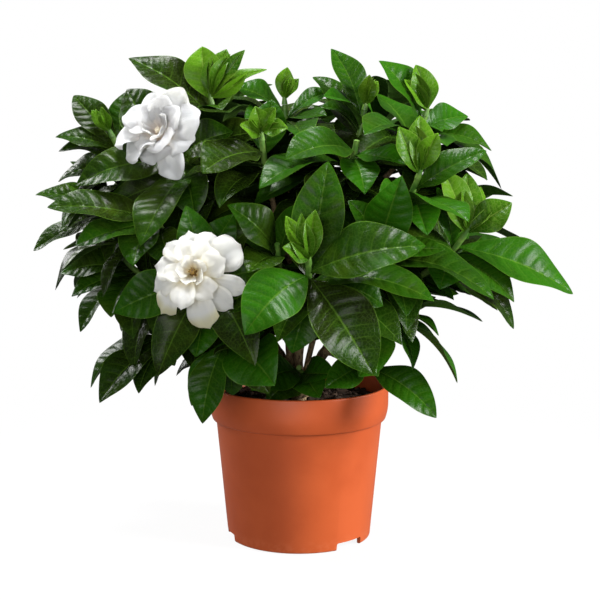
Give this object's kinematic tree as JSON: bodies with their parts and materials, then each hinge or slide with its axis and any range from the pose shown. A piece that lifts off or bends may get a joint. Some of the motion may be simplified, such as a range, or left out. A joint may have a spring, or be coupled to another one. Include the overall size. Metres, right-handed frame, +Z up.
{
  "type": "potted gardenia",
  "caption": "Bushy evergreen gardenia with glossy ribbed leaves and white double flowers, standing in a terracotta-coloured plastic nursery pot.",
  "frame": {"origin": "centre of the pot's foot, on the surface it stands on", "axes": "+Z up, -Y towards the viewer of the picture, +X to the viewer's right"},
  "size_m": [0.3729, 0.3337, 0.352],
  "materials": {
    "pot": "satin moulded plastic, terracotta colour",
    "soil": "moist dark potting mix",
    "wood": "thin light brown bark",
    "leaf": "glossy dark green with pale ribs",
    "young_leaf": "glossy yellow-green",
    "petal": "soft creamy white",
    "eye": "dry golden brown"
  },
  "bodies": {
    "root": {"pot": "pot", "soil": "soil", "wood": "wood", "shoot_centre_front": "leaf", "tuft_centre_front": "young_leaf", "shoot_upper_centre": "leaf", "shoot_right_centre": "leaf", "tuft_right_centre": "young_leaf", "shoot_middle_right": "leaf", "shoot_right": "leaf", "tuft_right": "young_leaf", "shoot_top_right": "leaf", "tuft_top_right": "young_leaf", "shoot_top_centre_right": "leaf", "tuft_top_centre_right": "young_leaf", "shoot_top_middle": "leaf", "tuft_top_middle": "young_leaf", "shoot_upper_left_centre": "leaf", "tuft_upper_left_centre": "young_leaf", "shoot_top_left": "leaf", "tuft_top_left": "young_leaf", "shoot_under_flower_1": "leaf", "shoot_left_upper": "leaf", "tuft_left_upper": "young_leaf", "shoot_left_middle": "leaf", "shoot_left_far": "leaf", "tuft_left_far": "young_leaf", "shoot_left_low": "leaf", "shoot_lower_left": "leaf", "shoot_low_front_left": "leaf", "shoot_under_flower_2": "leaf", "shoot_centre_left": "leaf", "shoot_lower_right": "leaf", "shoot_low_front_right": "leaf", "shoot_low_centre": "leaf", "shoot_far_right": "leaf", "shoot_inner_left": "leaf", "shoot_inner_right": "leaf", "shoot_inner_low": "leaf", "shoot_back_top_left": "leaf", "tuft_back_top_left": "young_leaf", "shoot_back_top_right": "leaf", "tuft_back_top_right": "young_leaf", "shoot_back_upper": "leaf", "tuft_back_upper": "young_leaf", "shoot_back_right": "leaf", "tuft_back_right": "young_leaf", "shoot_back_left": "leaf", "shoot_back_low_right": "leaf", "shoot_back_low_left": "leaf", "shoot_back_middle": "leaf", "flower_1": "petal", "flower_1_eye": "eye", "flower_2": "petal", "flower_2_eye": "eye"}
  },
  "joints": []
}
